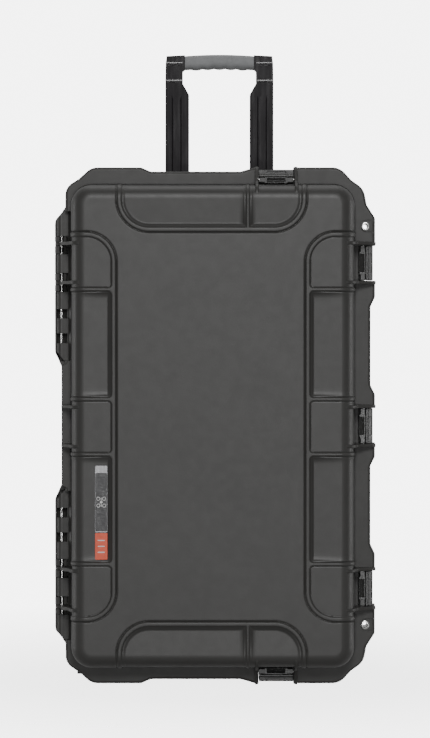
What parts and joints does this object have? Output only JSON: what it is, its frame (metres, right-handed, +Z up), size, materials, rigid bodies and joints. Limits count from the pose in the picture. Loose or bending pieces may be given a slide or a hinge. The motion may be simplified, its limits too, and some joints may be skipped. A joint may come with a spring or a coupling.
{
  "type": "drone carrying case",
  "caption": "Upright rolling hard case for a camera drone: hinged lid with latches, cut foam inside, pull-out handle and wheels.",
  "frame": {"origin": "on the floor, at the middle of the case's overall width and depth", "axes": "+Z up, along the case's length as it stands; -Y is the lid's side; the hinges are at -X and the latches at +X"},
  "size_m": [0.494, 0.3, 0.986],
  "materials": {
    "shell": "fine-textured moulded resin",
    "moulding": "satin",
    "gloss_moulding": "glossy",
    "grip": "soft matt",
    "steel": "bright",
    "seal": "matt",
    "tyre": "matt",
    "foam": "open-cell foam",
    "plate_silver": "satin",
    "plate_red": "printed"
  },
  "bodies": {
    "base": {"base_shell": "shell", "hinge_pin_upper": "steel", "hinge_pin_lower": "steel", "base_eyelet_upper": "steel", "base_eyelet_lower": "steel", "valve_body": "moulding", "valve_seal": "seal", "wheel_axle_left": "steel", "wheel_axle_right": "steel", "handle_bay_cover": "shell", "leg_guide_left": "moulding", "leg_guide_right": "moulding", "release_spring": "steel", "foam_pocket_layer": "foam", "foam_floor_pad": "foam", "side_handle_pin_a": "steel", "side_handle_pin_b": "steel", "end_handle_pin_a": "steel", "end_handle_pin_b": "steel"},
    "lid": {"lid_shell": "shell", "lid_gasket": "seal", "lid_foam": "foam", "name_plate": "plate_silver", "name_plate_tab": "plate_red", "lid_eyelet_upper": "steel", "lid_eyelet_lower": "steel", "latch_pin_side_upper": "steel", "latch_pin_side_middle": "steel", "latch_pin_side_lower": "steel", "latch_pin_top": "steel", "latch_pin_bottom": "steel"},
    "latch_side_upper": {"latch_side_upper": "moulding"},
    "latch_lock_side_upper": {"latch_lock_side_upper": "gloss_moulding"},
    "latch_side_middle": {"latch_side_middle": "moulding"},
    "latch_lock_side_middle": {"latch_lock_side_middle": "gloss_moulding"},
    "latch_side_lower": {"latch_side_lower": "moulding"},
    "latch_lock_side_lower": {"latch_lock_side_lower": "gloss_moulding"},
    "latch_top": {"latch_top": "moulding"},
    "latch_lock_top": {"latch_lock_top": "gloss_moulding"},
    "latch_bottom": {"latch_bottom": "moulding"},
    "latch_lock_bottom": {"latch_lock_bottom": "gloss_moulding"},
    "pull_handle": {"pull_handle_leg_left": "gloss_moulding", "pull_handle_leg_right": "gloss_moulding", "pull_handle_yoke": "gloss_moulding", "pull_handle_grip": "grip"},
    "handle_release": {"release_button": "gloss_moulding", "lock_bar": "steel"},
    "wheel_left": {"tyre_left": "tyre", "wheel_hub_left": "moulding", "wheel_bearing_left_inner": "steel", "wheel_bearing_left_outer": "steel"},
    "wheel_right": {"tyre_right": "tyre", "wheel_hub_right": "moulding", "wheel_bearing_right_inner": "steel", "wheel_bearing_right_outer": "steel"},
    "side_handle": {"side_handle_frame": "moulding", "side_handle_grip": "grip"},
    "end_handle": {"end_handle_frame": "moulding", "end_handle_grip": "grip"}
  },
  "joints": [
    {"name": "lid_hinge", "type": "hinge", "parent": "base", "child": "lid", "pos_m": [-0.2365, -0.072, 0.398], "axis": [0, 0, -1], "range_deg": [0, 103]},
    {"name": "latch_side_upper_turn", "type": "hinge", "parent": "lid", "child": "latch_side_upper", "pos_m": [0.227, -0.09, 0.648], "axis": [0, 0, -1], "range_deg": [0, 105]},
    {"name": "latch_lock_side_upper_slide", "type": "slide", "parent": "latch_side_upper", "child": "latch_lock_side_upper", "axis": [0, -1, 0], "range_m": [0, 0.005]},
    {"name": "latch_side_middle_turn", "type": "hinge", "parent": "lid", "child": "latch_side_middle", "pos_m": [0.227, -0.09, 0.398], "axis": [0, 0, -1], "range_deg": [0, 105]},
    {"name": "latch_lock_side_middle_slide", "type": "slide", "parent": "latch_side_middle", "child": "latch_lock_side_middle", "axis": [0, -1, 0], "range_m": [0, 0.005]},
    {"name": "latch_side_lower_turn", "type": "hinge", "parent": "lid", "child": "latch_side_lower", "pos_m": [0.227, -0.09, 0.148], "axis": [0, 0, -1], "range_deg": [0, 105]},
    {"name": "latch_lock_side_lower_slide", "type": "slide", "parent": "latch_side_lower", "child": "latch_lock_side_lower", "axis": [0, -1, 0], "range_m": [0, 0.005]},
    {"name": "latch_top_turn", "type": "hinge", "parent": "lid", "child": "latch_top", "pos_m": [0.094, -0.09, 0.776], "axis": [1, 0, 0], "range_deg": [0, 105]},
    {"name": "latch_lock_top_slide", "type": "slide", "parent": "latch_top", "child": "latch_lock_top", "axis": [0, -1, 0], "range_m": [0, 0.005]},
    {"name": "latch_bottom_turn", "type": "hinge", "parent": "lid", "child": "latch_bottom", "pos_m": [0.094, -0.09, 0.02], "axis": [-1, 0, 0], "range_deg": [0, 105]},
    {"name": "latch_lock_bottom_slide", "type": "slide", "parent": "latch_bottom", "child": "latch_lock_bottom", "axis": [0, -1, 0], "range_m": [0, 0.005]},
    {"name": "pull_handle_slide", "type": "slide", "parent": "base", "child": "pull_handle", "axis": [0, 0, 1], "range_m": [-0.19, 0]},
    {"name": "handle_release_press", "type": "slide", "parent": "base", "child": "handle_release", "axis": [0, -1, 0], "range_m": [0, 0.004], "stiffness_N_per_m": 400, "springref_m": -0.002, "deforming": ["release_spring"]},
    {"name": "wheel_left_spin", "type": "hinge", "parent": "base", "child": "wheel_left", "pos_m": [-0.1935, 0.105, 0.0465], "axis": [1, 0, 0], "continuous": true},
    {"name": "wheel_right_spin", "type": "hinge", "parent": "base", "child": "wheel_right", "pos_m": [0.1865, 0.105, 0.0465], "axis": [1, 0, 0], "continuous": true},
    {"name": "side_handle_swing", "type": "hinge", "parent": "base", "child": "side_handle", "pos_m": [0.227, 0.005, 0.398], "axis": [0, 0, -1], "range_deg": [0, 100]},
    {"name": "end_handle_swing", "type": "hinge", "parent": "base", "child": "end_handle", "pos_m": [-0.0035, 0.005, 0.781], "axis": [1, 0, 0], "range_deg": [0, 100]}
  ]
}
